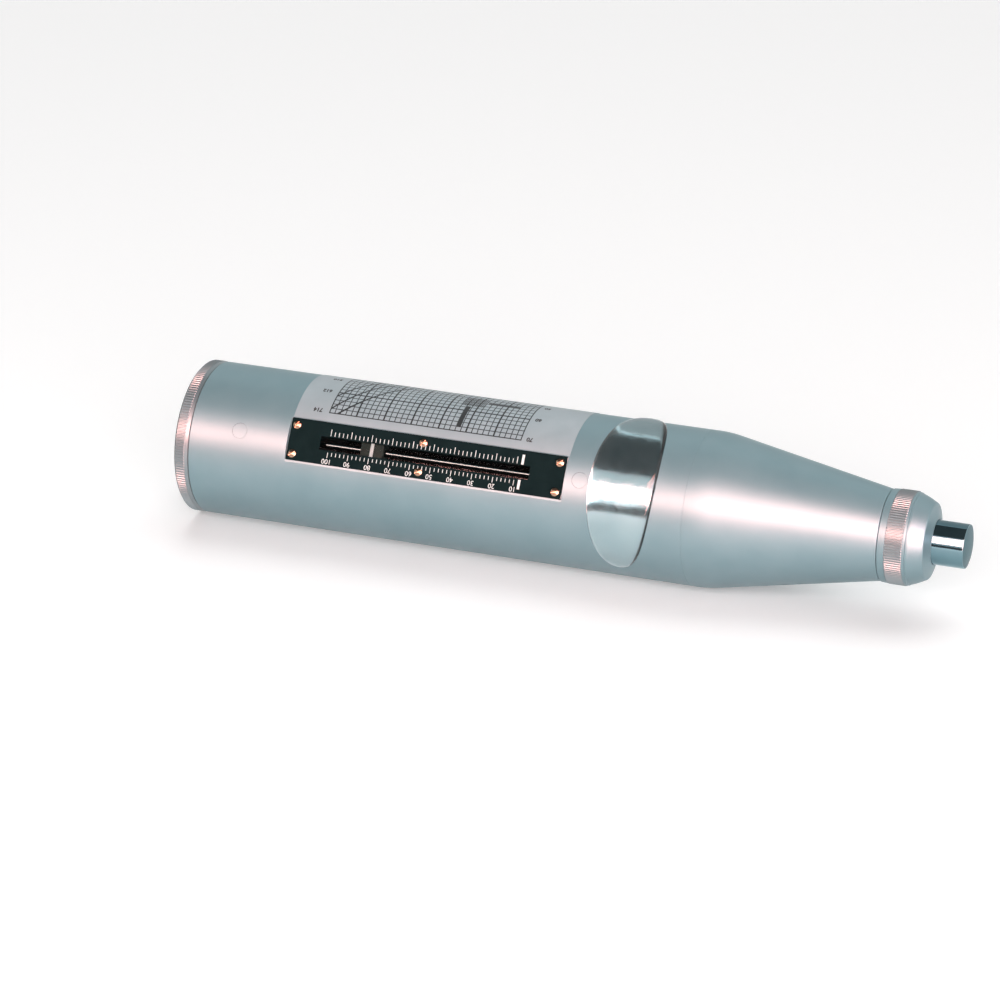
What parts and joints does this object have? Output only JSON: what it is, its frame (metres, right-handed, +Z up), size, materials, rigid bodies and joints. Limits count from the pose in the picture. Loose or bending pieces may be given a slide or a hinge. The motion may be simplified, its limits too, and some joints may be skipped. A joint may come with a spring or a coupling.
{
  "type": "concrete test hammer",
  "caption": "Round aluminium rebound hammer for testing hard concrete, with a steel plunger, a sprung sliding mass, a black rebound scale under a window, a rider and a lock button.",
  "frame": {"origin": "on the floor under the middle of the hammer as it lies, plunger pushed in", "axes": "+X along the hammer towards the plunger tip, +Z up, the scale window faces -Y and up"},
  "size_m": [0.2758, 0.0576, 0.0547],
  "materials": {
    "anodised_housing": "satin clear anodised, turned",
    "turned_caps": "bright turned aluminium with a straight knurl",
    "bright_steel": "ground bright",
    "spring_steel": "drawn wire, lightly oiled",
    "blued_steel": "ground and hardened, dark",
    "polished_plunger": "hard and polished",
    "brass_parts": "plain brass",
    "felt": "pressed felt",
    "black_plate": "black semi-gloss with white filled scale",
    "clear_window": "clear plastic",
    "label_foil": "satin silver foil with a black printed chart",
    "badge_silver": "bare bright silver foil",
    "clear_dome": "clear soft resin, glossy",
    "rider_green": "dark grey-green satin",
    "white_mark": "white",
    "button_black": "black satin"
  },
  "bodies": {
    "housing": {"housing_tube": "anodised_housing", "nose_cone": "anodised_housing", "nose_cap": "turned_caps", "rear_cover": "turned_caps", "two_part_ring": "bright_steel", "felt_washer": "felt", "guide_sleeve": "brass_parts", "impact_spring": "spring_steel", "trip_screw": "bright_steel", "trip_locknut": "bright_steel", "return_spring": "spring_steel", "scale_plate": "black_plate", "window_pane": "clear_window", "scale_plate_screws": "brass_parts", "rider_rod": "bright_steel", "rod_plugs": "anodised_housing", "chart_label": "label_foil", "badge_foil": "badge_silver", "badge_dome": "clear_dome", "button_bush": "turned_caps", "button_collar": "turned_caps", "button_spring": "spring_steel"},
    "plunger_set": {"plunger": "polished_plunger", "guide_bar": "bright_steel", "guide_disk": "turned_caps", "buffer_spring": "spring_steel", "pawl_pin": "bright_steel", "pawl_spring": "spring_steel"},
    "mass": {"hammer_mass": "blued_steel"},
    "pawl": {"pawl": "blued_steel"},
    "rider": {"rider_block": "rider_green", "rider_leaf": "brass_parts", "rider_index": "white_mark"},
    "button": {"push_button": "button_black"}
  },
  "joints": [
    {"name": "plunger_slide", "type": "slide", "parent": "housing", "child": "plunger_set", "axis": [1, 0, 0], "range_m": [0, 0.075], "deforming": ["return_spring"]},
    {"name": "mass_slide", "type": "slide", "parent": "plunger_set", "child": "mass", "axis": [-1, 0, 0], "range_m": [0, 0.075]},
    {"name": "pawl_hinge", "type": "hinge", "parent": "plunger_set", "child": "pawl", "pos_m": [-0.09688, 0.00538, 0.03649], "axis": [0, -0.8563, 0.5165], "range_deg": [0, 10], "stiffness_Nm_per_rad": 0.02, "springref_deg": -5.73, "deforming": ["pawl_spring"]},
    {"name": "rider_slide", "type": "slide", "parent": "housing", "child": "rider", "axis": [1, 0, 0], "range_m": [-0.015, 0.0525]},
    {"name": "button_slide", "type": "slide", "parent": "housing", "child": "button", "axis": [0, -0.8563, 0.5165], "range_m": [0, 0.003], "stiffness_N_per_m": 600, "springref_m": -0.002, "deforming": ["button_spring"]}
  ],
  "couplings": [
    {"joint": "mass_slide", "follows": "plunger_slide", "ratio": 1}
  ]
}
